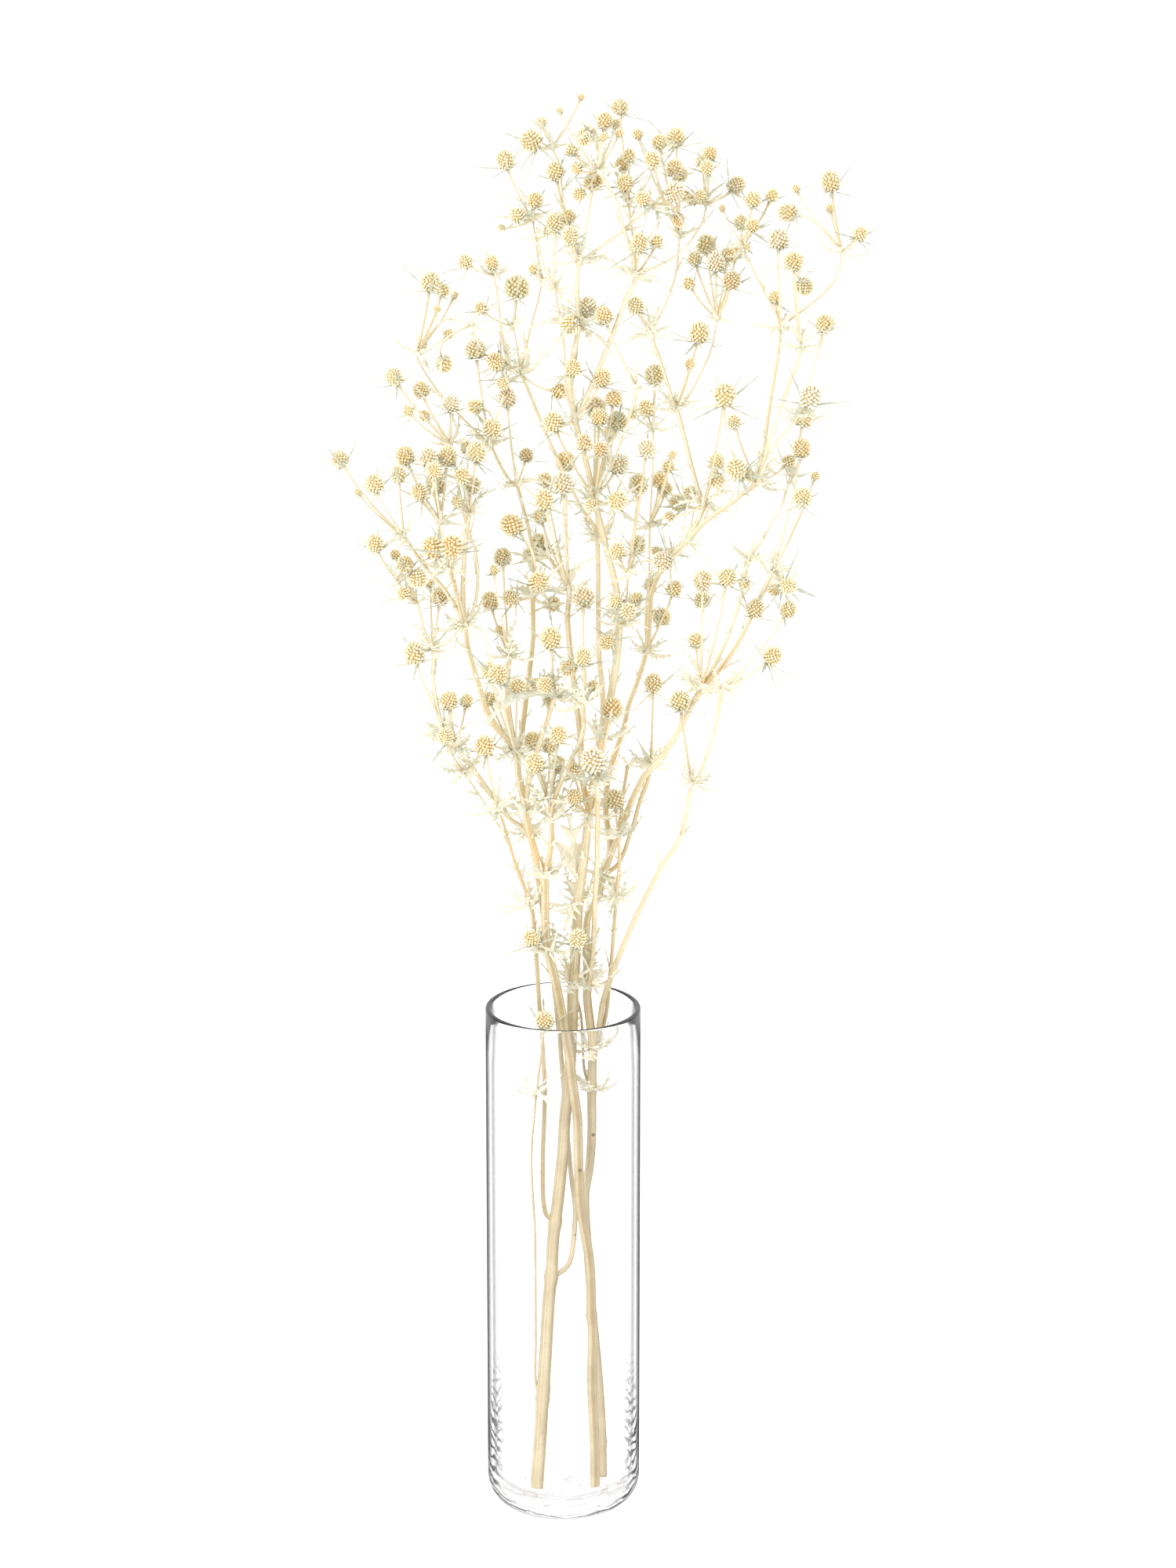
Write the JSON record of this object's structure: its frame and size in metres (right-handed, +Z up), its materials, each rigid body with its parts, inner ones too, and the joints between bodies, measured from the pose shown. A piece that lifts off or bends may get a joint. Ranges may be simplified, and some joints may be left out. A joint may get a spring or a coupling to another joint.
{
  "type": "dried thistle in vase",
  "caption": "Dried flowering thistle branches with small spiny cream heads, standing in a tall clear glass cylinder vase.",
  "frame": {"origin": "centre of the vase's foot, where it rests", "axes": "+Z up along the vase's axis, -Y towards the viewer in front, +X to the viewer's right"},
  "size_m": [0.2654, 0.12, 0.7469],
  "materials": {
    "clear_glass": "clear and polished",
    "dried_plant": "dry, matt and straw coloured"
  },
  "bodies": {
    "root": {"glass_vase": "clear_glass", "stem_centre": "dried_plant", "stem_left": "dried_plant", "stem_right": "dried_plant"}
  },
  "joints": []
}
